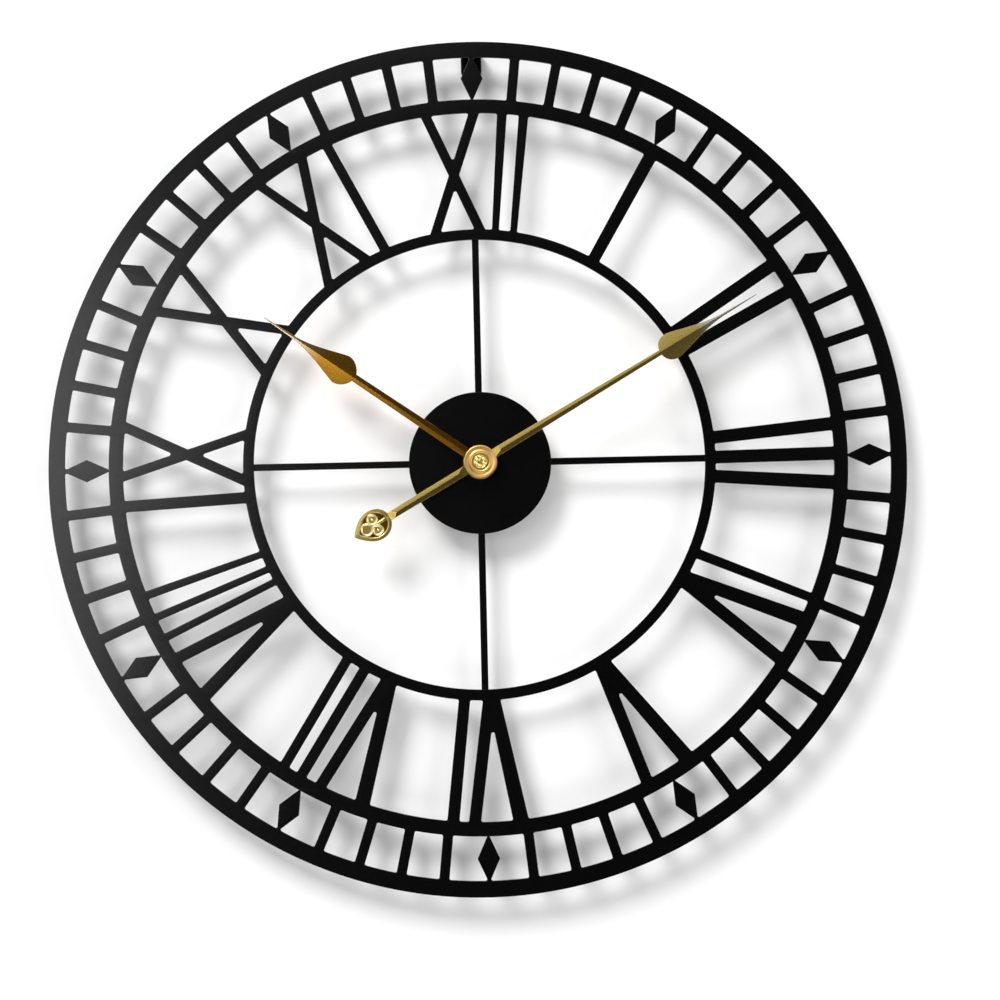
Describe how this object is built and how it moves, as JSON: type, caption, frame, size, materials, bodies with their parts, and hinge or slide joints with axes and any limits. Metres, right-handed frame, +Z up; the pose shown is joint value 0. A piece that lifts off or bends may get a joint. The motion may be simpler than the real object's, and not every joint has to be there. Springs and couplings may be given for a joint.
{
  "type": "wall clock",
  "caption": "Round skeleton wall clock: black steel Roman-numeral face on flat spokes, gold spade hands turning together, and a battery quartz movement behind the hub.",
  "frame": {"origin": "on the wall plane, on the axis of the hands, at the back of the movement", "axes": "+Z up to 12 o'clock, the front faces -Y, +Y is the normal of the back that rests on the wall"},
  "size_m": [0.5999, 0.0302, 0.6],
  "materials": {
    "black_steel": "satin black powder coat",
    "hour_gold": "polished, gold anodised, warm",
    "minute_gold": "polished, gold anodised, pale",
    "cap_gold": "polished, gold anodised",
    "brass": "turned",
    "case_black": "fine moulded texture",
    "cover_black": "fine moulded texture",
    "knob_grey": "moulded, knurled",
    "rubber": "matt",
    "gear_white": "moulded acetal",
    "frame_white": "moulded",
    "bright_steel": "nickel plated",
    "motor_iron": "blanked sheet",
    "magnet": "sintered magnet",
    "copper": "enamelled copper wire",
    "board_green": "solder resist",
    "resin_black": "dripped resin",
    "cell_wrap": "printed wrap with no lettering"
  },
  "bodies": {
    "frame": {"dial_plate": "black_steel", "hub_plate": "black_steel", "spoke_12": "black_steel", "spoke_3": "black_steel", "spoke_6": "black_steel", "spoke_9": "black_steel", "hanger_bracket": "black_steel", "case_front": "case_black", "rear_cover": "cover_black", "threaded_bush": "brass", "rubber_gasket": "rubber", "dial_washer": "brass", "clamp_nut": "brass", "train_bridge": "frame_white", "bridge_screws": "bright_steel", "stator": "motor_iron", "coil_core": "motor_iron", "coil_bobbin": "frame_white", "coil_winding": "copper", "circuit_board": "board_green", "chip_cover": "resin_black", "quartz_crystal": "bright_steel", "contact_positive": "bright_steel", "contact_negative": "bright_steel"},
    "minute": {"minute_hand": "minute_gold", "hand_cap": "cap_gold", "cannon_pinion": "brass"},
    "hour": {"hour_hand": "hour_gold", "hour_wheel": "gear_white"},
    "setting": {"minute_wheel": "gear_white", "setting_knob": "knob_grey"},
    "fourth": {"fourth_wheel": "gear_white"},
    "third": {"third_wheel": "gear_white"},
    "centre": {"centre_wheel": "gear_white"},
    "fifth": {"fifth_wheel": "gear_white"},
    "rotor": {"rotor": "magnet"},
    "battery": {"battery": "cell_wrap"}
  },
  "joints": [
    {"name": "minute_turn", "type": "hinge", "parent": "frame", "child": "minute", "pos_m": [0, -0.02, 0], "axis": [0, 1, 0], "continuous": true},
    {"name": "hour_turn", "type": "hinge", "parent": "frame", "child": "hour", "pos_m": [0, -0.02, 0], "axis": [0, 1, 0], "continuous": true},
    {"name": "setting_turn", "type": "hinge", "parent": "frame", "child": "setting", "pos_m": [0, -0.008, 0.0096], "axis": [0, 1, 0], "continuous": true},
    {"name": "fourth_turn", "type": "hinge", "parent": "frame", "child": "fourth", "pos_m": [0, -0.0063, 0], "axis": [0, 1, 0], "continuous": true},
    {"name": "third_turn", "type": "hinge", "parent": "frame", "child": "third", "pos_m": [-0.00854, -0.008, 0.00229], "axis": [0, 1, 0], "continuous": true},
    {"name": "centre_turn", "type": "hinge", "parent": "frame", "child": "centre", "pos_m": [0, -0.0098, 0], "axis": [0, 1, 0], "continuous": true},
    {"name": "fifth_turn", "type": "hinge", "parent": "frame", "child": "fifth", "pos_m": [0.00869, -0.005, 0.00233], "axis": [0, 1, 0], "continuous": true},
    {"name": "rotor_turn", "type": "hinge", "parent": "frame", "child": "rotor", "pos_m": [0.01527, -0.007, 0.00472], "axis": [0, 1, 0], "continuous": true},
    {"name": "battery_slide", "type": "slide", "parent": "frame", "child": "battery", "axis": [0, 1, 0], "range_m": [0, 0.016]}
  ],
  "couplings": [
    {"joint": "hour_turn", "follows": "minute_turn", "ratio": 0.083333},
    {"joint": "setting_turn", "follows": "minute_turn", "ratio": -0.33333},
    {"joint": "third_turn", "follows": "fourth_turn", "ratio": -0.125},
    {"joint": "centre_turn", "follows": "fourth_turn", "ratio": 0.016667},
    {"joint": "fifth_turn", "follows": "fourth_turn", "ratio": -5},
    {"joint": "rotor_turn", "follows": "fourth_turn", "ratio": 30}
  ]
}
